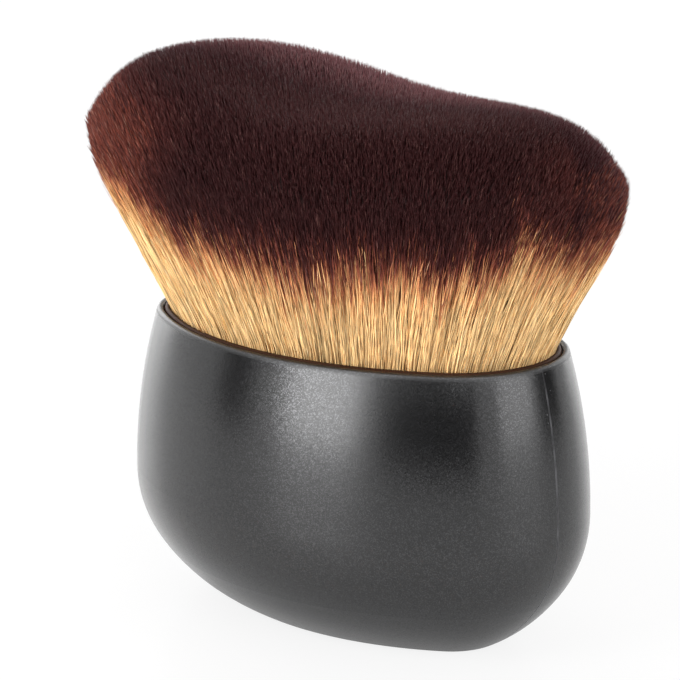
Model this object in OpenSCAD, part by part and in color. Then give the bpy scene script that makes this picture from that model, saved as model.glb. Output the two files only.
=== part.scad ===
// Kabuki makeup brush: an oval tub-shaped handle with a wide, flared head of bristles.
//
// The origin is the centre of the flat base. +X runs along the oval's long axis,
// the front is -Y and +Z is up. Everything is in millimetres.
//
// Every horizontal section of the handle is the mouth's oval, moved in or out by the same
// distance all the way round. So the handle's walls are drawn once, as a flat outline of
// offset from the mouth against height, and that outline is swept round the oval.

/* [Handle] */
// Length of the handle's oval mouth, over the outside
mouth_length = 64.5; // [60:0.5:70]
// Radius of the round ends of the mouth's oval
mouth_end_r = 15.3; // [13:0.1:17]
// How far round the end arcs run from the long axis to the side arcs, in degrees
end_angle = 56; // [50:1:62]
// Height of the handle, from the table to the top of its rim
handle_h = 40; // [37:0.5:44]
// Height of the widest section
belly_z = 17.5; // [15.5:0.5:19.5]
// How far the widest section stands out past the mouth, on each side
belly_swell = 3.15; // [2:0.05:4]
// Radius of the outline just under the belly
belly_r = 17.3; // [15:0.1:19]
// How far round the belly's own arc runs before the flatter one to the base, in degrees
belly_arc = 36; // [30:1:40]
// Length of the flat base
base_length = 47; // [44:0.5:52]
// Rounding of the base's edge
base_edge_r = 1.2; // [0.6:0.1:2]

/* [Shell walls] */
// Thickness of the moulded walls
wall_t = 2.2; // [1.6:0.1:2.8]
// Thickness of the floor
base_t = 2.4; // [1.6:0.1:3.2]
// Thickness of the rounded lip at the mouth
lip_t = 1; // [0.8:0.1:1.4]
// Thickness of the upright ribs that carry the cup
rib_t = 1.4; // [1:0.1:2]
// How far the ribs reach in from the mouth's oval
rib_reach = 6.5; // [4:0.5:8]
// Ribs along each long side
side_ribs = 3; // [1:1:4]

/* [Joint between the halves] */
// Height of the tongue along the joint
tongue_h = 0.8; // [0.5:0.1:1.2]
// Share of the wall's thickness that the tongue takes
tongue_share = 0.3; // [0.2:0.05:0.4]
// Clearance round the tongue and the pins
joint_clear = 0.08; // [0.04:0.01:0.15]
// Width of the fine groove that shows where the halves meet
line_w = 0.08; // [0.06:0.02:0.3]
// Depth of that groove
line_d = 0.06; // [0.06:0.02:0.3]
// Radius of the bosses that carry the locating pins
boss_r = 3; // [2.5:0.1:3.5]
// Distance of the bosses from the middle, along the oval
boss_x = 10; // [7:0.5:12]
// Height of the bosses' axes
boss_z = 12; // [9:0.5:14]
// Radius of the locating pins
pin_r = 1.3; // [0.8:0.1:1.6]
// Length of the locating pins
pin_l = 3; // [2:0.5:5]

/* [Hair cup] */
// Depth of the cup, from its rim to its foot
cup_depth = 18; // [15:0.5:20]
// How far the cup's rim stands up past the lip of the handle
cup_proud = 0.1; // [0:0.05:0.3]
// Thickness of the cup's wall
cup_t = 0.8; // [0.6:0.1:1.2]
// Thickness of the cup's floor
cup_floor_t = 1.2; // [0.8:0.1:2]
// Gap between the cup and the lip
cup_fit = 0.1; // [0.05:0.01:0.2]
// Height of the adhesive that fills the wedge outside the cup
bead_h = 4; // [2:0.5:6]
// Depth of the resin that holds the roots
resin_h = 4; // [2:0.5:6]

/* [Bristles] */
// Strands counted along the oval
strands_across = 20; // [16:1:20]
// Strands counted across the oval
strands_deep = 15; // [12:1:15]
// Share of its cell that a strand fills at the root
root_share = 0.76; // [0.6:0.02:0.8]
// Share of its cell that a strand fills in the head
head_share = 0.8; // [0.7:0.02:0.82]
// How far the rows of strands sway to and fro, as a share of the oval's half length
row_sway = 0.03; // [0:0.005:0.04]
// Thickness of the slice of resin that is fused with the roots
slice_t = 1.2; // [0.8:0.1:2]
// Gap between the hair and the cup
hair_gap = 0.2; // [0.15:0.05:0.5]
// How far the hair spreads along the oval for each millimetre up
flare_x = 0.6; // [0.5:0.01:0.65]
// How far the hair spreads across the oval for each millimetre up
flare_y = 0.46; // [0.35:0.01:0.5]
// Length over which the outer strands turn upright again at the top
bend_l = 10; // [6:0.5:12]
// Height of the crown at its middle, from the table
crown_z = 69.8; // [66:0.2:73]
// Rise of the crown towards +X, over half the handle's length
crown_rise = 2.2; // [0:0.1:4]
// Rise of the crown towards the front, over half the handle's width
crown_tilt = 0.5; // [0:0.1:1.5]
// Height of the hump at the -X end of the crown
hump_h = 9.1; // [0:0.1:11]
// Where the hump's top lies along the oval
hump_x = -35.7; // [-40:0.1:-25]
// Width of the hump, from its top to where it has nearly died out
hump_w = 23; // [16:0.5:28]
// How much shorter the outermost strands are than the crown
edge_drop = 9.8; // [6:0.1:12]
// How much shorter still they are at the front, and longer at the back
edge_front = 1.1; // [0:0.1:2]
// How late the crown turns down to its edge: higher is flatter on top
edge_power = 7; // [3:0.5:9]
// Length of the pointed tip of a strand
tip_l = 3.5; // [2:0.5:7]
// Uneven height of the strands
tip_uneven = 0.5; // [0:0.1:1]

/* [Hidden] */
$fn = 180;
// Sides of the wide circles that the outline is cut from
arc_sides = 720;
// Overlap that fuses pieces of one moulding
weld = 0.4;
// Height under the land that stays free of adhesive
land_gap = 1;
// Skin between the adhesive's bead and what it sticks to
bead_gap = 0.03;
// Room left round the wall's outline by the shapes that cut it
outline_margin = 3;
// Waves of a swaying row: degrees of sine over half of the square
sway_turn = 540;
// Seed of the uneven heights
tip_seed = 7;
// Points of a strand over its root: two rings of four corners, and the tip
strand_points = 9;

// The mouth's oval: end arcs centred at (+-end_x, 0) and side arcs centred at (0, -+side_y)
mouth_a = mouth_length / 2;
end_x = mouth_a - mouth_end_r;
side_y = end_x * tan(end_angle);
side_r = mouth_end_r + end_x / cos(end_angle);
mouth_b = side_r - side_y;

// Arc centres of the wall's outline, as [offset from the mouth's oval, height]
upper_r = ((handle_h - belly_z) ^ 2 + belly_swell ^ 2) / (2 * belly_swell);
upper_c = [belly_swell - upper_r, belly_z];
belly_c = [belly_swell - belly_r, belly_z];
belly_end = [cos(belly_arc), -sin(belly_arc)];
base_inset = (mouth_length - base_length) / 2;
lower_chord = belly_c + belly_r * belly_end - [-base_inset, 0];
lower_r = (lower_chord * lower_chord) / (2 * lower_chord * belly_end);
lower_c = belly_c + (belly_r - lower_r) * belly_end;

// Rounding of the base's edge and of the lip, each tangent to the outline
edge_c = [
    lower_c.x + sqrt((lower_r - base_edge_r) ^ 2 - (lower_c.y - base_edge_r) ^ 2), base_edge_r
];
edge_dir = (edge_c - lower_c) / norm(edge_c - lower_c);
lip_r = lip_t / 2;
lip_c = [upper_c.x + sqrt((upper_r - lip_r) ^ 2 - (handle_h - lip_r - belly_z) ^ 2), handle_h - lip_r];
lip_dir = (lip_c - upper_c) / norm(lip_c - upper_c);

// How far in from the mouth's oval the outline is drawn, and how far out
outline_in = base_inset + outline_margin;
outline_out = belly_swell + outline_margin;

// Places of the cup, as offsets from the mouth's oval and as heights
land_off = lip_c.x - lip_r;
cup_off = land_off - cup_fit;
cup_in_off = cup_off - cup_t;
cup_top = handle_h + cup_proud;
seat_z = cup_top - cup_depth;
resin_z = seat_z + cup_floor_t;
slice_z = resin_z + resin_h;
root_z = slice_z + slice_t;
// Offset of the wall's inner face at a height above the belly
function wall_in(z) = upper_c.x + sqrt((upper_r - wall_t) ^ 2 - (z - belly_z) ^ 2);
// Height at which the wall's inner face meets the land, and the top of the adhesive under it
land_z = belly_z + sqrt((upper_r - wall_t) ^ 2 - (land_off - upper_c.x) ^ 2);
bead_top = land_z - land_gap;

// The hair's oval at its roots: its offset from the mouth's, its half length and its half width
hair_off = cup_in_off - hair_gap;
hair_a = mouth_a + hair_off;
hair_b = mouth_b + hair_off;
// Half length of the head, which places the crown's shape along X
head_a = hair_a + flare_x * (crown_z - edge_drop - handle_h);

// Sweeping round the oval

// Moves in two steps, a coarse one and its small rest, so that neighbouring arcs meet exactly
module shift(v) {
    coarse = [for (c = v) floor(c * 100) / 100];
    translate(coarse) translate(v - coarse) children();
}

// Carries a flat (offset, height) outline round the end arc with the sign s, or part of it
module sweep_end(s, from, angle) {
    translate([s * end_x, 0, 0])
        rotate_extrude(angle = angle, start = from)
            translate([mouth_end_r, 0]) children();
}

// Carries it round the side arc with the sign s
module sweep_side(s) {
    shift([0, -s * side_y, 0])
        rotate_extrude(angle = 180 - 2 * end_angle, start = end_angle + (s > 0 ? 0 : 180))
            shift([side_r, 0]) children();
}

// Carries it round the half of the oval with +Y
module sweep_half() {
    sweep_end(1, 0, end_angle) children();
    sweep_side(1) children();
    sweep_end(-1, 180 - end_angle, end_angle) children();
}

// Carries it round the whole oval
module sweep_oval() {
    sweep_end(1, -end_angle, 2 * end_angle) children();
    sweep_side(1) children();
    sweep_end(-1, 180 - end_angle, 2 * end_angle) children();
    sweep_side(-1) children();
}

// The oval itself, moved out by an offset
module oval(off) {
    end_r = mouth_end_r + off;
    half_x = end_x + end_r * cos(end_angle);
    for (s = [-1, 1]) {
        translate([s * end_x, 0]) circle(end_r);
        intersection() {
            translate([0, -s * side_y]) circle(side_r + off);
            translate([-half_x, s > 0 ? 0 : -2 * mouth_b]) square([2 * half_x, 2 * mouth_b]);
        }
    }
}

// Outlines of the wall, in (offset, height)

// The part of a circle that lies between two heights
module arc_band(centre, r, z0, z1) {
    intersection() {
        translate(centre) circle(r, $fn = arc_sides);
        translate([-outline_in, z0]) square([outline_in + outline_out, z1 - z0]);
    }
}

// Everything inside the outline, moved in by a depth
module inside(depth) {
    split_z = belly_c.y + (belly_r - depth) * belly_end.y;
    arc_band(upper_c, upper_r - depth, belly_z, handle_h);
    arc_band(belly_c, belly_r - depth, split_z, belly_z);
    arc_band(lower_c, lower_r - depth, 0, split_z);
}

// What the rounding of the base's edge takes away
module edge_corner() {
    far = edge_c + outline_out * edge_dir;
    polygon([edge_c, far, [far.x, -outline_out], [edge_c.x, -outline_out]]);
}

// What the rounding of the lip takes away
module lip_corner() {
    far = lip_c + outline_out * lip_dir;
    polygon([lip_c, far, [far.x, handle_h + outline_out], [-outline_in, handle_h + outline_out],
             [-outline_in, lip_c.y]]);
}

// The wall with its floor's edge, its round lip and the land that the cup fits
module wall_outline() {
    difference() {
        inside(0);
        edge_corner();
        lip_corner();
        difference() {
            inside(wall_t);
            translate([-outline_in, 0]) square([outline_in + outline_out, base_t]);
        }
        translate([-outline_in, land_z]) square([outline_in + land_off, handle_h]);
    }
    translate(edge_c) circle(base_edge_r);
    translate(lip_c) circle(lip_r);
}

// A rib that stands on the floor against the wall and carries the cup's foot
module rib_outline() {
    intersection() {
        inside(wall_t / 2);
        translate([-rib_reach, base_t / 2]) square([rib_reach + outline_out, seat_z - base_t / 2]);
    }
}

// The tongue's own section of the wall, wider by a clearance on each face
module tongue_outline(clear) {
    low = base_t;
    high = seat_z;
    intersection() {
        difference() {
            inside((1 - tongue_share) / 2 * wall_t - clear);
            inside((1 + tongue_share) / 2 * wall_t + clear);
        }
        translate([-base_inset, low - clear])
            square([base_inset + outline_out, high - low + 2 * clear]);
    }
}

// Pieces of the handle

module rib() {
    rotate([90, 0, 0]) linear_extrude(rib_t, center = true) rib_outline();
}

// Ribs of the half with +Y: one at each end arc, the rest along the side
module ribs() {
    for (s = [-1, 1])
        translate([s * end_x, 0, 0])
            rotate([0, 0, s > 0 ? end_angle / 2 : 180 - end_angle / 2])
                translate([mouth_end_r, 0, 0]) rib();
    side_angle = 180 - 2 * end_angle;
    for (k = [0:side_ribs - 1])
        translate([0, -side_y, 0])
            rotate([0, 0, end_angle + side_angle * (k + 0.5) / side_ribs])
                translate([side_r, 0, 0]) rib();
}

// Bosses of the half with +Y, from the joint face into the side wall
module bosses() {
    intersection() {
        for (s = [-1, 1])
            translate([s * boss_x, 0, boss_z])
                rotate([-90, 0, 0]) cylinder(r = boss_r, h = mouth_b + outline_out);
        sweep_side(1) boss_zone();
    }
}

// The space that the bosses keep to: in past the joint face, and out to the middle of the wall
module boss_zone() {
    inside(wall_t / 2);
    translate([-side_r + side_y / 2, 0]) square([side_r - side_y / 2 - outline_in + weld, handle_h]);
}

// The moulded half with +Y, without the joint's pins or sockets
module half_shell() {
    difference() {
        sweep_half() wall_outline();
        joint_line();
    }
    intersection() {
        linear_extrude(base_t) oval(edge_c.x - weld);
        translate([-mouth_a, 0, 0]) cube([mouth_length, mouth_b, base_t]);
    }
    ribs();
    bosses();
}

// This half's share of the groove that shows along the joint, at both ends
module joint_line() {
    for (m = [0, 1])
        mirror([m, 0, 0])
            translate([mouth_a, line_w / 2, 0])
                rotate([90, 0, 0]) linear_extrude(line_w / 2 + weld)
                    difference() {
                        translate([-base_inset, 0]) square([base_inset + outline_out, handle_h + weld]);
                        inside(line_d);
                    }
}

// Tongue or groove along both ends of the joint face
module joint_strips(h, clear) {
    for (m = [0, 1])
        mirror([m, 0, 0])
            translate([mouth_a, 0, 0])
                rotate([90, 0, 0]) linear_extrude(h) tongue_outline(clear);
}

// Locating pins, or with a clearance their sockets
module joint_pins(r, from, to) {
    for (s = [-1, 1])
        translate([s * boss_x, from, boss_z])
            rotate([-90, 0, 0]) cylinder(r = r, h = to - from);
}

module handle_rear_shell() {
    color([0.13, 0.13, 0.135]) {
        half_shell();
        translate([0, weld, 0]) joint_strips(tongue_h + weld, 0);
        joint_pins(pin_r, -pin_l, weld);
    }
}

module handle_front_shell() {
    color([0.16, 0.16, 0.165])
        difference() {
            mirror([0, 1, 0]) half_shell();
            translate([0, weld, 0]) joint_strips(tongue_h + joint_clear + weld, joint_clear);
            joint_pins(pin_r + joint_clear, -pin_l - joint_clear, weld);
        }
}

// Pieces in the handle's mouth

// The cup that the hair is potted in, with its rounded rim
module hair_cup() {
    color([0.09, 0.08, 0.08]) {
        sweep_oval() {
            translate([cup_in_off, seat_z]) square([cup_t, cup_depth - cup_t / 2]);
            translate([cup_in_off + cup_t / 2, cup_top - cup_t / 2]) circle(cup_t / 2);
        }
        translate([0, 0, seat_z]) linear_extrude(cup_floor_t) oval(cup_in_off + cup_t / 2);
    }
}

// Adhesive in the wedge between the cup and the walls, just under the lip's land
module cup_adhesive() {
    low = bead_top - bead_h;
    cup_face = cup_off + bead_gap;
    color([0.85, 0.8, 0.65])
        sweep_oval()
            polygon([[cup_face, low], [wall_in(low) - bead_gap, low],
                     [wall_in(bead_top) - bead_gap, bead_top], [cup_face, bead_top]]);
}

// Resin that holds the roots in the cup
module root_resin() {
    color([0.8, 0.68, 0.45])
        translate([0, 0, resin_z]) linear_extrude(resin_h) oval(cup_in_off);
}

// Bristles

// A square of side 2 laid over a disc of radius 1, with its inner rows swaying
function sway(x, y) = x + row_sway * (1 - x ^ 2) * sin(sway_turn * y);
function disc(x, y) =
    let (p = sway(x, y), q = sway(y, x))
    [p * sqrt(1 - q ^ 2 / 2), q * sqrt(1 - p ^ 2 / 2)];

// Height of the tips over a point of the disc
function crown(p) =
    let (x = p.x * head_a)
    crown_z + crown_rise * x / mouth_a - crown_tilt * p.y + hump_h * exp(-((x - hump_x) / hump_w) ^ 2);
function tip_z(p) =
    let (r = norm(p), sine = r > 0 ? p.y / r : 0)
    crown(p) - (edge_drop - edge_front * sine) * r ^ edge_power;

// Height of the outermost strand in the direction of a point of the disc
function edge_z(p) = tip_z(norm(p) > 0 ? p / norm(p) : p);

// Height up the flare at z: it counts up from the rim, then dies out over bend_l below the edge
function rise(z, edge) =
    let (start = edge - handle_h - bend_l,
         k = min(max(z - handle_h - start, 0), bend_l))
    max(0, min(z - handle_h, start)) + k - k ^ 2 / (2 * bend_l);

// How far the hair's oval reaches from the middle along a direction
function oval_reach(d) =
    let (x = abs(d.x), y = abs(d.y),
         to_end = end_x * x + sqrt((mouth_end_r + hair_off) ^ 2 - (end_x * y) ^ 2),
         to_side = sqrt((side_r + hair_off) ^ 2 - (side_y * x) ^ 2) - side_y * y)
    atan2(to_end * y, to_end * x - end_x) < end_angle ? to_end : to_side;

// Where a point of the disc lies among the roots, whose outline is that oval
function at_root(p) =
    let (q = [p.x * hair_a, p.y * hair_b])
    norm(q) > 0 ? norm(p) * oval_reach(q / norm(q)) * q / norm(q) : q;

// Where a point of the disc lies in the head at a height
function in_head(p, z) =
    let (root = at_root(p), up = rise(z, edge_z(p)))
    [root.x + flare_x * up * p.x, root.y + flare_y * up * p.y, z];

// Edges of the strands along one side of the square, with the square's own edges round them
function grid_lines(n, share) =
    [-1, for (k = [0:n - 1]) for (s = [-1, 1]) (2 * k + 1 + s * share) / n - 1, 1];

// The four corners of strand (p, q) at a share of its cell, anticlockwise from above
function strand_corners(p, q, share) = [
    for (c = [[-1, -1], [1, -1], [1, 1], [-1, 1]])
        disc((2 * p + 1 + c.x * share) / strands_across - 1, (2 * q + 1 + c.y * share) / strands_deep - 1)
];

module bristle_tuft() {
    nx = strands_across;
    ny = strands_deep;
    lines_x = grid_lines(nx, root_share);
    lines_y = grid_lines(ny, root_share);
    w = len(lines_x);
    h = len(lines_y);
    uneven = rands(-tip_uneven, tip_uneven, nx * ny, tip_seed);

    // The slice's top is a grid, and each strand rises from one of its cells
    top = [for (y = lines_y) for (x = lines_x) in_head(disc(x, y), root_z)];
    border = concat([for (i = [0:w - 2]) i], [for (j = [0:h - 2]) j * w + w - 1],
                    [for (i = [w - 1:-1:1]) (h - 1) * w + i], [for (j = [h - 1:-1:1]) j * w]);
    rim_n = len(border);
    bottom = concat([for (b = border) [top[b].x, top[b].y, slice_z]], [[0, 0, slice_z]]);
    strands = [
        for (q = [0:ny - 1]) for (p = [0:nx - 1])
            let (middle = disc((2 * p + 1) / nx - 1, (2 * q + 1) / ny - 1),
                 tip = tip_z(middle) + uneven[q * nx + p],
                 corners = strand_corners(p, q, head_share))
            each concat([for (z = [handle_h, tip - tip_l]) for (c = corners) in_head(c, z)],
                        [in_head(middle, tip)])
    ];
    bottom_0 = w * h;
    strand_0 = bottom_0 + rim_n + 1;

    slice_faces = [
        for (j = [0:h - 2]) for (i = [0:w - 2])
            if (i % 2 == 0 || j % 2 == 0)
                let (a = j * w + i)
                each [[a, a + w, a + w + 1], [a, a + w + 1, a + 1]]
    ];
    side_faces = [
        for (k = [0:rim_n - 1])
            let (n = (k + 1) % rim_n, b = bottom_0 + k, c = bottom_0 + n)
            each [[b, border[k], border[n]], [b, border[n], c], [bottom_0 + rim_n, b, c]]
    ];
    strand_faces = [
        for (q = [0:ny - 1]) for (p = [0:nx - 1])
            let (a = (2 * q + 1) * w + 2 * p + 1,
                 s = strand_0 + strand_points * (q * nx + p),
                 rings = [[a, a + 1, a + w + 1, a + w], [s, s + 1, s + 2, s + 3],
                          [s + 4, s + 5, s + 6, s + 7]])
            for (k = [0:3])
                let (n = (k + 1) % 4)
                each [
                    for (r = [0, 1])
                        each [[rings[r][k], rings[r + 1][k], rings[r + 1][n]],
                              [rings[r][k], rings[r + 1][n], rings[r][n]]],
                    [rings[2][k], s + strand_points - 1, rings[2][n]]
                ]
    ];
    color([0.33, 0.2, 0.17])
        polyhedron(concat(top, bottom, strands), concat(slice_faces, side_faces, strand_faces));
}

handle_rear_shell();
handle_front_shell();
hair_cup();
cup_adhesive();
root_resin();
bristle_tuft();
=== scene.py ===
import math

import bpy
import numpy as np
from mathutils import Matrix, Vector


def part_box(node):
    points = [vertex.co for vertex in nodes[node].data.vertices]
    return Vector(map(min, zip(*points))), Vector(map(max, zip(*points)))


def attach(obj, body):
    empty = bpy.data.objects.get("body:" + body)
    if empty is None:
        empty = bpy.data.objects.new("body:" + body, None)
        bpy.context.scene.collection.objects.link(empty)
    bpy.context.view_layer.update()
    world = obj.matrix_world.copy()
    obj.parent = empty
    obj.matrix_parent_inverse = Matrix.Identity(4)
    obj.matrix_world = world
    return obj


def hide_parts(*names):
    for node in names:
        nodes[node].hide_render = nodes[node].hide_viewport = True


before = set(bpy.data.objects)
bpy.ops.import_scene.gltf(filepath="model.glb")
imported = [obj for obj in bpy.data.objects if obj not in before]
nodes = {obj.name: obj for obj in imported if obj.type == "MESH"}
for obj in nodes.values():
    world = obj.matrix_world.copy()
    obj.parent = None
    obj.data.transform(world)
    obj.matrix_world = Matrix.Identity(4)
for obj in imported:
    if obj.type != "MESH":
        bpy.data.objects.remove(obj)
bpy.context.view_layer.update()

# A kabuki brush: satin black oval handle, flared head of tan fibre with dark dyed tips.
# Metres throughout. +X is the long axis, the front is -Y, and the brush stands on z = 0.

scene = bpy.context.scene
mm = 0.001


# Camera, set where the photograph was taken from

camera = {
    "aim": (0, -0.0036, 0.0386),
    "heading": 43.5,  # degrees round from the front towards +X
    "elevation": 14.3,
    "distance": 0.4614,
    "lens": 182.4,  # on a 36 mm sensor
}


def direction(heading, elevation):
    around, above = math.radians(heading), math.radians(elevation)
    level = math.cos(above)
    return Vector((math.sin(around) * level, -math.cos(around) * level, math.sin(above)))


def addCamera(spec):
    towards = direction(spec["heading"], spec["elevation"])
    data = bpy.data.cameras.new("camera")
    data.lens = spec["lens"]
    data.clip_start = 0.01
    eye = bpy.data.objects.new("camera", data)
    eye.location = Vector(spec["aim"]) + spec["distance"] * towards
    eye.rotation_euler = (-towards).to_track_quat("-Z", "Y").to_euler()
    scene.collection.objects.link(eye)
    scene.camera = eye


addCamera(camera)
print("camera set")


# Colours and shader nodes

def linear(hexCode):
    parts = [int(hexCode[i:i + 2], 16) / 255 for i in (1, 3, 5)]
    return [c / 12.92 if c <= 0.04045 else ((c + 0.055) / 1.055) ** 2.4 for c in parts] + [1.0]


def addNode(tree, kind, settings=None, inputs=None, stops=()):
    # stops are a colour ramp's positions and hex colours
    node = tree.nodes.new(kind)
    for name, value in (settings or {}).items():
        setattr(node, name, value)
    for name, value in (inputs or {}).items():
        if isinstance(value, bpy.types.NodeSocket):
            tree.links.new(value, node.inputs[name])
        else:
            node.inputs[name].default_value = value
    for _ in stops[2:]:
        node.color_ramp.elements.new(1.0)
    for k, (position, hexCode) in enumerate(stops):
        node.color_ramp.elements[k].position = position
        node.color_ramp.elements[k].color = linear(hexCode)
    return node


def newMaterial(name):
    material = bpy.data.materials.new(name)
    material.use_nodes = True
    tree = material.node_tree
    tree.nodes.clear()
    return material, tree


# Bristle head: the shape of the tuft's solid, with its lengths in metres

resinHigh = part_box("root_resin")[1]
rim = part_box("handle_front_shell")[1].z
head = {
    "rootA": resinHigh.x - 0.1 * mm,  # half length of the hair's oval where it leaves the cup
    "rootB": resinHigh.y - 0.1 * mm,
    "endX": 16.95 * mm,  # centres of the oval's end arcs, and how far round they run
    "endAngle": math.radians(56),
    "flareX": 0.596,  # spread along the oval for each metre up
    "flareY": 0.46,
    "bend": 9.9 * mm,  # length over which the outer fibres turn upright again
    "crown": 69.84 * mm,  # height at the middle
    "rise": 0.0688,  # slope of the crown towards +X
    "tilt": -0.0227,  # slope of the crown towards +Y
    "humpHeight": 9.1 * mm,
    "humpX": -35.7 * mm,
    "humpWidth": 23 * mm,
    "edgeDrop": 9.77 * mm,  # how much shorter the outermost fibres are
    "edgeFront": 1.1 * mm,  # how much more than that at the front, and less at the back
    "edgeEnds": 0.58 * mm,  # how much more at the two ends, and less at the sides
    "edgePower": 7,
    "dyeDepth": 4.3 * mm,  # how far the dye reaches down from the edge, as a mean of the two ends
    "dyeSides": 3.8 * mm,  # how much further along the sides
    "dyeLean": 2.5 * mm,  # how much further at +X than at the middle
    "dyeEnd": 6.5 * mm,  # how much further still at the -X end alone
    "dyeEndTurns": (1.9, 2.8),  # turn at which that starts and is full
    "dyeEndPower": 1.5,
    "streakRise": 3.2 * mm,  # tan streaks that reach up into the dye, near the +X end of the front
    "streakTurn": -0.34,
    "streakWidth": 0.09,
    "slim": 0.45 * mm,  # how far the +X end stands in from the solid's
    "slimFrom": (0.2, 0.9),  # cosine of the turn at which that starts and is full
    "slimOver": 8 * mm,  # rise over which it comes in
    "wideAt": 20 * mm,  # rise at which the crown's places are measured
    "edgeRadius": 33 * mm,
    "highest": 80 * mm,  # above every tip
}
headA = head["rootA"] + head["flareX"] * head["wideAt"]
headB = head["rootB"] + head["flareY"] * head["wideAt"]


def smooth(value, low, high):
    part = np.clip((value - low) / (high - low), 0, 1)
    return part * part * (3 - 2 * part)


def atRoot(px, py):
    # The cup's oval is drawn with four arcs, and the roots fill it
    x, y = px * head["rootA"], py * head["rootB"]
    far = np.maximum(np.hypot(x, y), 1e-9)
    dx, dy = np.abs(x) / far, np.abs(y) / far
    endRadius = head["rootA"] - head["endX"]
    sideY = head["endX"] * math.tan(head["endAngle"])
    sideRadius = endRadius + head["endX"] / math.cos(head["endAngle"])
    toEnd = head["endX"] * dx + np.sqrt(np.maximum(0, endRadius ** 2 - (head["endX"] * dy) ** 2))
    toSide = np.sqrt(sideRadius ** 2 - (sideY * dx) ** 2) - sideY * dy
    atEnd = np.arctan2(toEnd * dy, toEnd * dx - head["endX"]) < head["endAngle"]
    reach = np.hypot(px, py) * np.where(atEnd, toEnd, toSide) / far
    return x * reach, y * reach


def crownHeight(px, py):
    x, y = px * headA, py * headB
    hump = head["humpHeight"] * np.exp(-((x - head["humpX"]) / head["humpWidth"]) ** 2)
    return head["crown"] + head["rise"] * x + head["tilt"] * y + hump


def tipHeight(px, py):
    reach = np.hypot(px, py)
    turn = np.arctan2(py, px)
    drop = head["edgeDrop"] - head["edgeFront"] * np.sin(turn) + head["edgeEnds"] * np.cos(2 * turn)
    return crownHeight(px, py) - drop * reach ** head["edgePower"]


def edgeHeight(turn):
    return tipHeight(np.cos(turn), np.sin(turn))


def dyeHeight(turn):
    depth = head["dyeDepth"] + head["dyeSides"] * np.sin(turn) ** 2 + head["dyeLean"] * np.cos(turn)
    streak = head["streakRise"] * np.exp(-((turn - head["streakTurn"]) / head["streakWidth"]) ** 2)
    end = head["dyeEnd"] * smooth(np.abs(turn), *head["dyeEndTurns"]) ** head["dyeEndPower"]
    return edgeHeight(turn) - depth + streak - end


def bentRise(px, py, z):
    # Rise that spreads the head's outline, which turns upright under its edge
    start = edgeHeight(np.arctan2(py, px)) - rim - head["bend"]
    late = np.clip(z - rim - start, 0, head["bend"])
    return np.maximum(0, np.minimum(z - rim, start)) + late - late ** 2 / (2 * head["bend"])


def inHead(px, py, z, rise):
    x, y = atRoot(px, py)
    return np.stack([x + px * head["flareX"] * rise, y + py * head["flareY"] * rise, z], -1)


def fanTip(px, py):
    # Height at which a fibre that runs straight out of the cup leaves the head
    low, high = np.full(len(px), rim), np.full(len(px), head["highest"])
    for _ in range(22):  # halvings, which leave less than a thousandth of a millimetre
        z = (low + high) / 2
        bent = bentRise(px, py, z)
        x = px * (head["rootA"] + head["flareX"] * (z - rim)) / (head["rootA"] + head["flareX"] * bent)
        y = py * (head["rootB"] + head["flareY"] * (z - rim)) / (head["rootB"] + head["flareY"] * bent)
        within = (z < tipHeight(x, y)) & (np.hypot(x, y) < 1)
        low, high = np.where(within, z, low), np.where(within, high, z)
    return low


# Fibres

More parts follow.
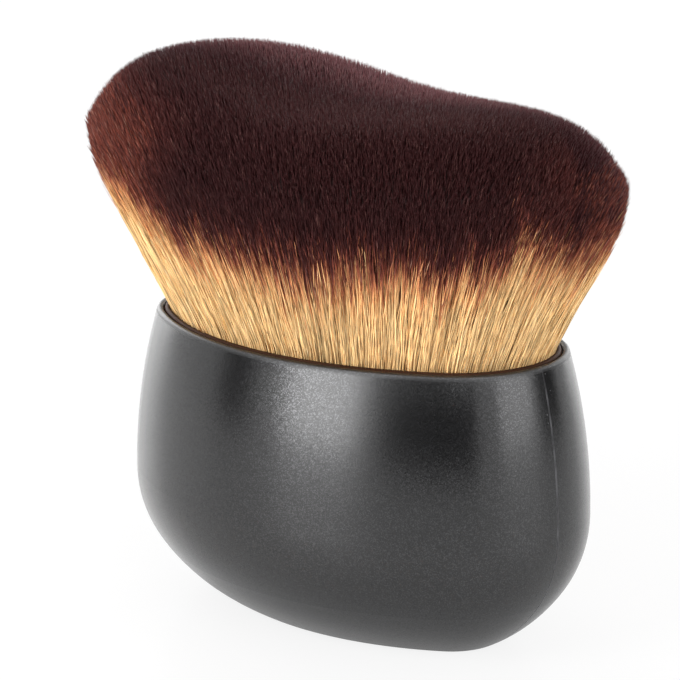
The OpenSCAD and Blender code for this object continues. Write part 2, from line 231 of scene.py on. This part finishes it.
fibre = {
    "sideCount": 18500,
    "sideParts": 7,
    "sideReach": 0.87,  # the side's fibres stand outside this share of the head
    "sideRings": 11,
    "crownCount": 66000,
    "crownParts": 6,
    "crownReach": 0.985,
    "crownLength": 8 * mm,
    "crownRings": ([0, 0.55, 0.91], [1, 1, 0.85]),  # shares of the length, and the width at each
    "crownShake": 0.9,  # how far the tips stray from their spiral, in steps of it
    "sideEnd": 0.96,  # share of the length at the last ring below the tip
    "sideTaper": (3, 1.05, 0.9),  # how steep the point is, where it would end, and how round it is
    "inCup": 2 * mm,  # how far under the lip the side's fibres start
    "sideRadius": 0.068 * mm,  # real ones are about half as thick, too fine to show
    "crownRadius": 0.058 * mm,
    "thickness": (0.8, 1.2),  # the thinnest and the thickest, as shares of that
    "tipUneven": 0.1 * mm,  # in height
    "lean": 0.4 * mm,  # how far a fibre strays sideways from its line at the tip
    "leanOut": 0.4,  # share of that by which it strays outwards
    "wave": 0.1 * mm,  # in and out
    "waveSideways": 0.17 * mm,
    "waveLength": (9 * mm, 18 * mm),  # the shortest and the longest
    "looseFrom": 0.25,  # share of the length over which the waves come in
    "dyeUneven": 1.7 * mm,  # how far the dye line shifts from fibre to fibre
    "dyeRows": [(3.5 * mm, 0.6 * mm), (1.1 * mm, 0.9 * mm)],  # clumps: their width, and the shift there
    "darkFrom": 6 * mm,  # height above the dye line where the dye is at its darkest
    "fadedAt": 1.2 * mm,  # and the height whose redder tone the ends keep
    "fades": [
        # for the -X and the +X end: its turn, the cosines away from it and the shares of the head
        # between which the redder tone comes in, and its strength
        (-2.6, (0.66, 0.9), (0.58, 0.88), 1.0),
        (0.45, (0.68, 0.94), (0.62, 0.9), 0.8),
    ],
    "fadesLeast": 0.5,  # share of that in the fibres that take the least of it
    "tones": 256,  # columns of the fibre map, one tone in each
    "tanSwing": 0.95,  # how far the tones lie apart in the tan, and how much less in the dye
    "darkSwing": 0.45,
    "mapBelow": 24 * mm,  # length of fibre below the dye line that the map holds
    "mapAbove": 26 * mm,
    # painted backlight: the tips along the back are drawn lighter in colour, as if light came through them
    # from behind
    "backlightTip": 2 * mm,  # top of the map, for tips that light shows through
    "backlightAbove": (1.5 * mm, 3 * mm),  # heights above the dye line between which a tip starts to be one
    "backlightRing": 0.85,  # how much of that the ring below the tip gets
    "backlightSlope": 0.35,  # they lie behind a line across the head, which has this slope and bend
    "backlightBend": 0.6,
    "backlightOver": 0.64,
    # mm above the dye line, and the colour there. The last two are painted backlight: tips drawn lighter,
    # as if light came through them from behind
    "dye": [(-7, "#FFD89C"), (-3.2, "#FCC78A"), (-1.4, "#D88F62"), (0.4, "#964F3F"), (2.4, "#592D2A"),
            (6, "#3C1E1F"), (24, "#3A1C1E"), (26, "#74494C")],
    # painted highlights: pale colours mixed into short stretches of fibre, in the tan and in the dye
    "paintedGleams": [(-3, "#FFEFC8"), (3, "#B98A80")],
    "swingOver": (-2, 8),  # mm above the dye line between which the tones draw together
    "patch": 2 * mm,  # of one fibre that is lighter or darker than the rest of it
    "patchSwing": (0.78, 1.22),
    "gleamFrom": (0.74, 0.9),  # high in the noise, so that a gleam is rare and short
    "gleamMost": 0.5,
    "apart": 7.3,  # from one tone to the next in the noise, so that they share no patch
}
rng = np.random.default_rng(11)


def rowNoise(turn, step, size):
    # Smooth uneven values round the head, one every step metres of its edge
    count = int(2 * math.pi * head["edgeRadius"] / step)
    values = rng.normal(0, size, count)
    place = (turn / (2 * math.pi)) % 1 * count
    low = place.astype(int) % count
    part = smooth(place - np.floor(place), 0, 1)
    return values[low] * (1 - part) + values[(low + 1) % count] * part


def addMesh(name, points, faces, uv=None):
    # faces is a list of (n, k) index arrays
    mesh = bpy.data.meshes.new(name)
    mesh.vertices.add(len(points))
    mesh.vertices.foreach_set("co", points.astype(np.float32).ravel())
    corners = np.concatenate([f.ravel() for f in faces]).astype(np.int32)
    sizes = np.concatenate([np.full(len(f), f.shape[1], np.int32) for f in faces])
    mesh.loops.add(len(corners))
    mesh.loops.foreach_set("vertex_index", corners)
    mesh.polygons.add(len(sizes))
    mesh.polygons.foreach_set("loop_start", np.concatenate([[0], np.cumsum(sizes)[:-1]]).astype(np.int32))
    mesh.update(calc_edges=True)
    mesh.validate()
    mesh.polygons.foreach_set("use_smooth", np.ones(len(sizes), bool))
    if uv is not None:
        layer = mesh.uv_layers.new(name="OFBake")
        layer.uv.foreach_set("vector", uv[corners].astype(np.float32).ravel())
    made = bpy.data.objects.new(name, mesh)
    scene.collection.objects.link(made)
    return made


def strands(name, px, py, length, radius, shares, taper, material):
    # Three-sided fibres, ring by ring, with a pointed tip. Without a length they start in the cup
    count = len(px)
    turn = np.arctan2(py, px)
    reach = np.hypot(px, py)
    top = fanTip(px, py) + rng.normal(0, fibre["tipUneven"], count)
    sideways = rng.normal(0, fibre["lean"], count)
    outwards = rng.normal(0, fibre["leanOut"] * fibre["lean"], count)
    phase = rng.uniform(0, 2 * math.pi, (2, count))
    pace = 2 * math.pi / rng.uniform(*fibre["waveLength"], (2, count))
    bottom = top - length if length else np.full(count, rim - fibre["inCup"])
    dye = dyeHeight(turn) + rng.normal(0, fibre["dyeUneven"], count)
    dye += sum(rowNoise(turn, step, size) for step, size in fibre["dyeRows"])
    # The dye stays redder at the two ends, and the tips along the back get painted backlight: a lighter
    # colour, as if light came through them
    faded = sum(strength * smooth(np.cos(turn - at), *wide) * smooth(reach, *deep)
                for at, wide, deep, strength in fibre["fades"])
    paintedBacklight = smooth(py - fibre["backlightSlope"] * px + fibre["backlightBend"] * px ** 4, 0, fibre["backlightOver"])
    slim = head["slim"] * smooth(np.cos(turn), *head["slimFrom"]) * reach ** 4
    out = np.stack([np.cos(turn), np.sin(turn), np.zeros(count)], -1)
    side = np.stack([-np.sin(turn), np.cos(turn), np.zeros(count)], -1)
    spin = rng.uniform(0, 2 * math.pi, count)
    column = rng.integers(0, fibre["tones"], count)
    faded = np.minimum(1, faded * (fibre["fadesLeast"] + column / fibre["tones"]))
    width = radius * rng.uniform(*fibre["thickness"], count)
    span = fibre["mapBelow"] + fibre["mapAbove"]

    rings, maps = [], []
    for row, (share, thick) in enumerate(zip([*shares, 1.0], [*taper, 0.0])):
        z = bottom + share * (top - bottom)
        line = inHead(px, py, z, np.maximum(0, z - rim))
        loose = min(1, share / fibre["looseFrom"])
        sway = sideways * share ** 2 + loose * fibre["waveSideways"] * np.sin(pace[0] * z + phase[0])
        stray = outwards * share ** 2 + loose * fibre["wave"] * np.sin(pace[1] * z + phase[1])
        stray = stray - slim * smooth(z, rim, rim + head["slimOver"])
        line = line + side * sway[:, None] + out * stray[:, None]
        above = np.minimum(z - dye, fibre["darkFrom"])
        above = above - faded * np.maximum(0, above - fibre["fadedAt"])
        if row >= len(shares) - 1:
            # Painted backlight: only tips that stand clear of the dye line are drawn lighter, so the line
            # keeps its place
            lifted = fibre["mapAbove"] - fibre["backlightTip"] * (1 - paintedBacklight * (fibre["backlightRing"] if thick else 1))
            clear = smooth(above, *fibre["backlightAbove"]) * (paintedBacklight > 0)
            above = above + clear * np.maximum(0, lifted - above)
        along = np.clip((above + fibre["mapBelow"]) / span, 0, 1)
        for k in range(3 if thick else 1):
            a = spin + 2 * math.pi * k / 3
            around = out * np.cos(a)[:, None] + side * np.sin(a)[:, None]
            rings.append(line + around * (thick * width)[:, None])
            # The three edges stand side by side within the tone's column
            maps.append(np.stack([(column + 0.2 + 0.3 * k) / fibre["tones"], along], -1))
    each = len(rings)
    points = np.stack(rings, 1).reshape(-1, 3)
    uv = np.stack(maps, 1).reshape(-1, 2)

    first = np.arange(count)[:, None] * each
    quads, ends = [], []
    for ring in range(len(shares) - 1):
        for k in range(3):
            a, b = 3 * ring + k, 3 * ring + (k + 1) % 3
            quads.append(first + [a, b, b + 3, a + 3])
    last = 3 * (len(shares) - 1)
    for k in range(3):
        ends.append(first + [last + k, last + (k + 1) % 3, each - 1])
    ends.append(first + [2, 1, 0])
    made = addMesh(name, points, [np.concatenate(quads), np.concatenate(ends)], uv)
    made.data.materials.append(material)
    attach(made, "root")
    return made


# Nylon fibre, extruded, tapered and dipped in dye: a soft gloss along each one, tan below and dark above.
# Painted gleams and a painted backlight on the tips are in its colour

def makeFibre():
    material, tree = newMaterial("nylonFibre")
    place = addNode(tree, "ShaderNodeUVMap", {"uv_map": "OFBake"}).outputs["UV"]
    split = addNode(tree, "ShaderNodeSeparateXYZ", inputs={"Vector": place})
    span = (fibre["mapBelow"] + fibre["mapAbove"]) / mm
    zero = fibre["mapBelow"] / mm / span
    colour, gleam = [addNode(tree, "ShaderNodeValToRGB", inputs={"Fac": split.outputs["Y"]},
                             stops=[(zero + at / span, hexCode) for at, hexCode in shades])
                     for shades in (fibre["dye"], fibre["paintedGleams"])]
    # Each column of the map has its own tone. The square root makes light ones common and dark ones rare
    column = addNode(tree, "ShaderNodeMath", {"operation": "MULTIPLY"},
                     {0: split.outputs["X"], 1: fibre["tones"]})
    number = addNode(tree, "ShaderNodeMath", {"operation": "FLOOR"}, {0: column.outputs[0]})
    chance = addNode(tree, "ShaderNodeTexWhiteNoise", {"noise_dimensions": "1D"}, {"W": number.outputs[0]})
    bright = addNode(tree, "ShaderNodeMath", {"operation": "POWER"}, {0: chance.outputs["Value"], 1: 0.5})
    centred = addNode(tree, "ShaderNodeMath", {"operation": "SUBTRACT"}, {0: bright.outputs[0], 1: 0.667})
    low, high = [zero + at / span for at in fibre["swingOver"]]
    swing = addNode(tree, "ShaderNodeMapRange", inputs={
        "Value": split.outputs["Y"], "From Min": low, "From Max": high,
        "To Min": fibre["tanSwing"], "To Max": fibre["darkSwing"]})
    tone = addNode(tree, "ShaderNodeMath", {"operation": "MULTIPLY_ADD"},
                   {0: centred.outputs[0], 1: swing.outputs["Result"], 2: 1.0})
    # Patches along each fibre, and painted gleams: pale glints of highlight mixed into the colour, in
    # millimetres
    across = addNode(tree, "ShaderNodeMath", {"operation": "MULTIPLY"},
                     {0: number.outputs[0], 1: fibre["apart"]})
    up = addNode(tree, "ShaderNodeMath", {"operation": "MULTIPLY"}, {0: split.outputs["Y"], 1: span})
    cell = addNode(tree, "ShaderNodeCombineXYZ", inputs={"X": across.outputs[0], "Y": up.outputs[0]})
    along = addNode(tree, "ShaderNodeTexNoise", {"noise_dimensions": "2D"},
                    {"Vector": cell.outputs["Vector"], "Scale": mm / fibre["patch"], "Detail": 1.0})
    least, most = fibre["patchSwing"]
    shade = addNode(tree, "ShaderNodeMapRange", inputs={
        "Value": along.outputs[0], "From Min": 0.3, "From Max": 0.7, "To Min": least, "To Max": most})
    both = addNode(tree, "ShaderNodeMath", {"operation": "MULTIPLY"},
                   {0: tone.outputs[0], 1: shade.outputs[0]})
    toned = addNode(tree, "ShaderNodeVectorMath", {"operation": "SCALE"},
                    {0: colour.outputs["Color"], "Scale": both.outputs[0]})
    shine = addNode(tree, "ShaderNodeTexNoise", {"noise_dimensions": "2D"},
                    {"Vector": cell.outputs["Vector"], "Scale": mm / fibre["patch"], "Detail": 0.0})
    low, high = fibre["gleamFrom"]
    lit = addNode(tree, "ShaderNodeMapRange", inputs={
        "Value": shine.outputs[0], "From Min": low, "From Max": high, "To Max": fibre["gleamMost"]})
    gleaming = addNode(tree, "ShaderNodeMath", {"operation": "MULTIPLY"},
                       {0: lit.outputs["Result"], 1: swing.outputs["Result"]})
    mixed = addNode(tree, "ShaderNodeMix", {"data_type": "RGBA"},
                    {0: gleaming.outputs[0], 6: toned.outputs[0], 7: gleam.outputs["Color"]})
    shader = addNode(tree, "ShaderNodeBsdfPrincipled", inputs={
        "Base Color": mixed.outputs[2], "Roughness": 0.42, "IOR": 1.53, "Specular IOR Level": 0.1})
    addNode(tree, "ShaderNodeOutputMaterial", inputs={"Surface": shader.outputs["BSDF"]})
    return material


nylon = makeFibre()


def sidePlaces(count):
    reach = np.sqrt(rng.uniform(fibre["sideReach"] ** 2, 1, count))
    turn = rng.uniform(-math.pi, math.pi, count)
    return reach * np.cos(turn), reach * np.sin(turn)


def crownPlaces(count):
    # A sunflower's spiral, shaken, spreads the tips evenly
    order = np.arange(count) + 0.5
    reach = np.sqrt(order / count) * fibre["crownReach"]
    turn = order * math.pi * (3 - math.sqrt(5))
    shake = fibre["crownShake"] / math.sqrt(count)
    x = reach * np.cos(turn) + rng.normal(0, shake, count)
    y = reach * np.sin(turn) + rng.normal(0, shake, count)
    return x, y


px, py = sidePlaces(fibre["sideCount"])
shares = np.linspace(0, fibre["sideEnd"], fibre["sideRings"])
steep, end, roundness = fibre["sideTaper"]
taper = np.minimum(1, steep * (end - shares) ** roundness)
for k, chosen in enumerate(np.array_split(np.argsort(np.arctan2(py, px)), fibre["sideParts"])):
    strands(f"side_fibres_{k + 1}", px[chosen], py[chosen], None, fibre["sideRadius"],
                            shares, taper, nylon)
px, py = crownPlaces(fibre["crownCount"])
keep = np.hypot(px, py) < 1
px, py = px[keep], py[keep]
for k, chosen in enumerate(np.array_split(np.argsort(px), fibre["crownParts"])):
    strands(f"crown_fibres_{k + 1}", px[chosen], py[chosen], fibre["crownLength"],
                            fibre["crownRadius"], *fibre["crownRings"], nylon)


# The mass of hair behind the fibres that show

mass = {
    "reach": 0.91,  # share of the head that it fills
    "below": 3.2 * mm,  # how far its top lies under the tips
    "foot": 2 * mm,  # how far above the resin it starts
    "footShare": 0.98,  # how wide it is there
    "turns": 96,
    "rings": 14,
    "levels": 10,
    # the fibres' dye, with the tan drawn darker as painted shade between the fibres
    "colours": [(0, "#D8A66C"), (0.5, "#B98552"), (0.75, "#4A2A24"), (1, "#341D1C")],
    "coloursOver": 20 * mm,  # rise over which these follow each other
}


# Nylon hair packed tight, seen only between other fibres: dull, and as dark as the dye above. Its tan is
# darker than the fibres' own, as painted shade between them

def makeShadedHairMass():
    material, tree = newMaterial("shadedHairMass")
    place = addNode(tree, "ShaderNodeNewGeometry").outputs["Position"]
    height = addNode(tree, "ShaderNodeSeparateXYZ", inputs={"Vector": place}).outputs["Z"]
    level = addNode(tree, "ShaderNodeMapRange", inputs={
        "Value": height, "From Min": rim, "From Max": rim + mass["coloursOver"]})
    colour = addNode(tree, "ShaderNodeValToRGB", inputs={"Fac": level.outputs["Result"]},
                     stops=mass["colours"])
    shader = addNode(tree, "ShaderNodeBsdfPrincipled", inputs={
        "Base Color": colour.outputs["Color"], "Roughness": 0.8})
    addNode(tree, "ShaderNodeOutputMaterial", inputs={"Surface": shader.outputs["BSDF"]})
    return material


def addMass():
    turns, rings, levels = mass["turns"], mass["rings"], mass["levels"]
    turn = np.linspace(0, 2 * math.pi, turns, endpoint=False)
    rows = []
    bottom = resinHigh.z + mass["foot"]
    cx, cy = mass["reach"] * np.cos(turn), mass["reach"] * np.sin(turn)
    top = tipHeight(cx, cy) - mass["below"]
    for share in np.linspace(0, 1, levels):
        z = bottom + share * (top - bottom)
        row = inHead(cx, cy, z, bentRise(cx, cy, z))
        if share == 0:
            row[:, :2] *= mass["footShare"]
        rows.append(row)
    for share in np.linspace(1, 0, rings + 1)[1:-1]:
        x, y = share * cx, share * cy
        z = tipHeight(x, y) - mass["below"]
        rows.append(inHead(x, y, z, bentRise(x, y, z)))
    points = np.concatenate(rows)
    middle = np.array([[0, 0, crownHeight(0, 0) - mass["below"]], [0, 0, bottom]])
    points = np.concatenate([points, middle])
    n = np.arange(turns)
    after = (n + 1) % turns
    quads = [np.stack([n + r * turns, after + r * turns, after + (r + 1) * turns, n + (r + 1) * turns], -1)
             for r in range(len(rows) - 1)]
    last = (len(rows) - 1) * turns
    caps = [np.stack([n + last, after + last, np.full(turns, len(points) - 2)], -1),
            np.stack([after, n, np.full(turns, len(points) - 1)], -1)]
    made = addMesh("hair_mass", points, [np.concatenate(quads), np.concatenate(caps)])
    made.data.materials.append(makeShadedHairMass())
    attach(made, "root")


addMass()
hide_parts("bristle_tuft")
print("hair mass made")


# Handle: ABS, moulded in two halves and sprayed satin black with fine pearl flake. Its highlights are
# long and soft-edged, and the flake sparkles in them

handle = {
    "flake": 0.12 * mm,  # between flakes, coarser than real so that they show
    "flakeTurn": 0.05,  # how far a flake leans out of the surface
    # the joint's pale edge is rubbed paint and painted light: it lifts the shade in the groove to a faint
    # light line
    "seamWearAndLight": (0.05 * mm, 0.17 * mm),  # from the joint over which its rubbed edge fades
    "patch": 10 / 3 * mm,  # length of that edge from one rubbed patch to the next
    "fleck": 0.45 * mm,  # between places where a pale fleck may sit near the joint
    "fleckSize": (0.13, 0.2),  # from a fleck's full part to its rim, as shares of that
    "fleckPicked": (0.86, 0.88),  # about one place in eight has one
    "fleckNear": (0.9 * mm, 1.1 * mm),  # from the joint within which they sit
    "fleckBelow": (9 * mm, 5 * mm),  # below the lip, between which they come in
    "lipBelow": (0.75 * mm, 0.3 * mm),  # below the rim, between which the spray turns duller
    "lipDull": 0.9,
    "gloss": (0.23, 0.5),  # roughness of the spray, and of what is worn or dull
    # cells below 0.5 are lacquer, and those from 0.52 on are flake, which mirrors more
    "cells": [(0, "#060607"), (0.35, "#0B0B0C"), (0.5, "#1C1C1E"), (0.52, "#404041"), (1, "#585859")],
    "flakeFrom": (0.5, 0.52),
    # pale grey of the rubbed edge with its painted light, and of the flecks
    "wornAndLit": "#6E6E72",
    # the cup rim's colour: black, with a painted reflection of the tan hair in it
    "rimPaintedReflection": "#38241A",  # the cup's rim, black with the tan of the hair thrown on it
}


def makeSatinBlack():
    material, tree = newMaterial("satinPearlAbs")
    place = addNode(tree, "ShaderNodeTexCoord").outputs["Object"]
    cells = addNode(tree, "ShaderNodeTexVoronoi", {"feature": "F1"},
                    {"Vector": place, "Scale": 1 / handle["flake"], "Randomness": 1.0})
    ways = addNode(tree, "ShaderNodeVectorMath", {"operation": "SUBTRACT"},
                   {0: cells.outputs["Color"], 1: (0.5, 0.5, 0.5)})
    lean = addNode(tree, "ShaderNodeVectorMath", {"operation": "SCALE"},
                   {0: ways.outputs[0], "Scale": handle["flakeTurn"]})
    facing = addNode(tree, "ShaderNodeNewGeometry").outputs["Normal"]
    turned = addNode(tree, "ShaderNodeVectorMath", {"operation": "ADD"}, {0: facing, 1: lean.outputs[0]})
    normal = addNode(tree, "ShaderNodeVectorMath", {"operation": "NORMALIZE"}, {0: turned.outputs[0]})
    chance = addNode(tree, "ShaderNodeSeparateXYZ", inputs={"Vector": cells.outputs["Color"]}).outputs["X"]
    colour = addNode(tree, "ShaderNodeValToRGB", inputs={"Fac": chance}, stops=handle["cells"])
    low, high = handle["flakeFrom"]
    metal = addNode(tree, "ShaderNodeMapRange", inputs={"Value": chance, "From Min": low, "From Max": high})
    # Wear and painted light: the joint's edges, pale in patches as rubbed paint and as painted light that
    # lifts the groove's shade, and a few pale flecks beside it below the lip
    axes = addNode(tree, "ShaderNodeSeparateXYZ", inputs={"Vector": place}).outputs
    fromJoint = addNode(tree, "ShaderNodeMath", {"operation": "ABSOLUTE"}, {0: axes["Y"]}).outputs[0]
    patches = addNode(tree, "ShaderNodeTexNoise", inputs={
        "Vector": place, "Scale": 1 / handle["patch"], "Detail": 2.0})
    flecks = addNode(tree, "ShaderNodeTexVoronoi", {"feature": "F1"},
                     {"Vector": place, "Scale": 1 / handle["fleck"], "Randomness": 1.0})
    picked = addNode(tree, "ShaderNodeSeparateXYZ", inputs={"Vector": flecks.outputs["Color"]}).outputs["Y"]
    fleckLow, fleckHigh = [rim - depth for depth in handle["fleckBelow"]]
    wearAndLight = [
        # rubbed edge with painted light, then flecks. Each is a product of ranges: a value, its two limits,
        # and the amount of wear at each limit
        [(fromJoint, *handle["seamWearAndLight"], 0.8, 0), (patches.outputs[0], 0.4, 0.6, 0.3, 1)],
        [(flecks.outputs["Distance"], *handle["fleckSize"], 1, 0), (fromJoint, *handle["fleckNear"], 1, 0),
         (axes["Z"], fleckLow, fleckHigh, 0, 1), (picked, *handle["fleckPicked"], 0, 1)],
    ]
    wornAndLit = 0.0
    for ranges in wearAndLight:
        amount = 1.0
        for value, low, high, atLow, atHigh in ranges:
            part = addNode(tree, "ShaderNodeMapRange", inputs={
                "Value": value, "From Min": low, "From Max": high, "To Min": atLow, "To Max": atHigh})
            amount = addNode(tree, "ShaderNodeMath", {"operation": "MULTIPLY"},
                             {0: amount, 1: part.outputs["Result"]}).outputs[0]
        wornAndLit = addNode(tree, "ShaderNodeMath", {"operation": "MAXIMUM"}, {0: wornAndLit, 1: amount}).outputs[0]
    mixed = addNode(tree, "ShaderNodeMix", {"data_type": "RGBA"},
                    {0: wornAndLit, 6: colour.outputs["Color"], 7: linear(handle["wornAndLit"])})
    kept = addNode(tree, "ShaderNodeMath", {"operation": "SUBTRACT"}, {0: 1.0, 1: wornAndLit})
    flaked = addNode(tree, "ShaderNodeMath", {"operation": "MULTIPLY"},
                     {0: metal.outputs["Result"], 1: kept.outputs[0]})
    # The spray lies thin over the lip and dries duller there
    low, high = [rim - depth for depth in handle["lipBelow"]]
    lip = addNode(tree, "ShaderNodeMapRange", inputs={
        "Value": axes["Z"], "From Min": low, "From Max": high, "To Max": handle["lipDull"]})
    dull = addNode(tree, "ShaderNodeMath", {"operation": "MAXIMUM"}, {0: wornAndLit, 1: lip.outputs["Result"]})
    smoothest, roughest = handle["gloss"]
    rough = addNode(tree, "ShaderNodeMapRange", inputs={
        "Value": dull.outputs[0], "To Min": smoothest, "To Max": roughest})
    shader = addNode(tree, "ShaderNodeBsdfPrincipled", inputs={
        "Base Color": mixed.outputs[2], "Metallic": flaked.outputs[0], "Roughness": rough.outputs["Result"],
        "IOR": 1.5, "Specular IOR Level": 0.66, "Normal": normal.outputs[0]})
    addNode(tree, "ShaderNodeOutputMaterial", inputs={"Surface": shader.outputs["BSDF"]})
    return material


# ABS, moulded and left unsprayed: a dull black line round the hair, its brown a painted reflection of the
# tan hair

def makeBlackWithPaintedReflection():
    material, tree = newMaterial("bareAbsPaintedReflection")
    shader = addNode(tree, "ShaderNodeBsdfPrincipled", inputs={
        "Base Color": linear(handle["rimPaintedReflection"]), "Roughness": 0.6, "IOR": 1.5, "Specular IOR Level": 0.06})
    addNode(tree, "ShaderNodeOutputMaterial", inputs={"Surface": shader.outputs["BSDF"]})
    return material


def dress(node, material):
    made = nodes[node]
    made.data.materials.clear()
    made.data.materials.append(material)


satinBlack = makeSatinBlack()
dress("handle_rear_shell", satinBlack)
dress("handle_front_shell", satinBlack)
dress("hair_cup", makeBlackWithPaintedReflection())
print("handle dressed")


# Floor, lights and surroundings

studio = {
    "softboxes": [
        # name, heading, elevation, distance, width, height, brightness
        ("keyBox", -12, 23, 0.9, 0.455, 0.8, 5.5),
        ("sideBox", 101.5, 20, 0.9, 0.56, 0.66, 2.1),
        ("leftBox", -108, 15, 0.9, 0.6, 0.7, 4.5),
        ("backBox", 192, 10, 0.9, 0.6, 0.5, 3.2),
        ("rightBox", 62, 32, 0.9, 0.6, 0.3, 3.8),
    ],
    "flags": [
        # black cards that the camera doesn't see: name, heading, elevation, distance, width, height
        ("frontFlag", 37, 6, 0.7, 0.72, 0.24),
        ("leftFlag", -46.5, 6, 0.7, 0.18, 0.24),
        ("rearFlag", 139, 6, 0.7, 0.31, 0.24),
    ],
    "aimHeight": 0.04,  # height that the lamps and the cards face
    "card": "#0A0A0A",
    "paper": "#E9E9E9",
    "floorWidth": 6.0,
    "floorWhite": 0.86,  # share of plain white that the camera sees in the floor. The rest keeps the shadow
    "floorMirrored": 0.35,  # and the share that reflections see
    "room": 0.6,  # light from all round
}


def placeRound(obj, heading, elevation, distance):
    towards = direction(heading, elevation)
    obj.location = Vector((0, 0, studio["aimHeight"])) + distance * towards
    obj.rotation_euler = (-towards).to_track_quat("-Z", "Y").to_euler()


def addSoftbox(name, heading, elevation, distance, width, height, brightness):
    data = bpy.data.lights.new(name, "AREA")
    data.shape = "RECTANGLE"
    data.size, data.size_y = width, height
    data.energy = brightness * math.pi * width * height
    lamp = bpy.data.objects.new(name, data)
    placeRound(lamp, heading, elevation, distance)
    scene.collection.objects.link(lamp)


def addSheet(name, width, height):
    x, y = width / 2, height / 2
    corners = np.array([[-x, -y, 0], [x, -y, 0], [x, y, 0], [-x, y, 0]])
    return addMesh(name, corners, [np.array([[0, 1, 2, 3]])])


def addFlag(name, heading, elevation, distance, width, height, material):
    card = addSheet(name, width, height)
    card.data.materials.append(material)
    placeRound(card, heading, elevation, distance)
    card.visible_camera = False


for softbox in studio["softboxes"]:
    addSoftbox(*softbox)
# Black card, matt: it shows in the gloss as a dark zone
blackCard, cardTree = newMaterial("blackCard")
cardShader = addNode(cardTree, "ShaderNodeBsdfDiffuse", inputs={"Color": linear(studio["card"])})
addNode(cardTree, "ShaderNodeOutputMaterial", inputs={"Surface": cardShader.outputs["BSDF"]})
for flag in studio["flags"]:
    addFlag(*flag, blackCard)


# Paper sweep, smooth and pale: white to the camera, apart from the object's soft shadow

def addFloor():
    made = addSheet("floor", studio["floorWidth"], studio["floorWidth"])
    material, tree = newMaterial("paperSweep")
    rays = addNode(tree, "ShaderNodeLightPath")
    paper = addNode(tree, "ShaderNodeBsdfPrincipled", inputs={
        "Base Color": linear(studio["paper"]), "Roughness": 0.35, "Specular IOR Level": 0.35})
    glow = addNode(tree, "ShaderNodeEmission", inputs={"Color": (1, 1, 1, 1), "Strength": 1.0})
    straight = addNode(tree, "ShaderNodeMath", {"operation": "MULTIPLY"},
                       {0: rays.outputs["Is Camera Ray"], 1: studio["floorWhite"]})
    mirrored = addNode(tree, "ShaderNodeMath", {"operation": "MAXIMUM"},
                       {0: rays.outputs["Is Glossy Ray"], 1: rays.outputs["Is Transmission Ray"]})
    seen = addNode(tree, "ShaderNodeMath", {"operation": "MULTIPLY_ADD"},
                   {0: mirrored.outputs[0], 1: studio["floorMirrored"], 2: straight.outputs[0]})
    mix = addNode(tree, "ShaderNodeMixShader",
                  inputs={"Fac": seen.outputs[0], 1: paper.outputs["BSDF"], 2: glow.outputs["Emission"]})
    addNode(tree, "ShaderNodeOutputMaterial", inputs={"Surface": mix.outputs["Shader"]})
    made.data.materials.append(material)


addFloor()


def addWorld():
    world = bpy.data.worlds.new("studio")
    scene.world = world
    world.use_nodes = True
    tree = world.node_tree
    tree.nodes.clear()
    rays = addNode(tree, "ShaderNodeLightPath")
    room = addNode(tree, "ShaderNodeBackground", inputs={"Color": (1, 1, 1, 1), "Strength": studio["room"]})
    white = addNode(tree, "ShaderNodeBackground", inputs={"Color": (1, 1, 1, 1), "Strength": 1.0})
    direct = addNode(tree, "ShaderNodeMath", {"operation": "MAXIMUM"},
                     {0: rays.outputs["Is Camera Ray"], 1: rays.outputs["Is Glossy Ray"]})
    seen = addNode(tree, "ShaderNodeMath", {"operation": "MAXIMUM"},
                   {0: direct.outputs[0], 1: rays.outputs["Is Transmission Ray"]})
    mix = addNode(tree, "ShaderNodeMixShader",
                  inputs={"Fac": seen.outputs[0], 1: room.outputs[0], 2: white.outputs[0]})
    addNode(tree, "ShaderNodeOutputWorld", inputs={"Surface": mix.outputs["Shader"]})


addWorld()
scene.view_settings.view_transform = "Standard"
print("studio set")

bpy.context.view_layer.update()
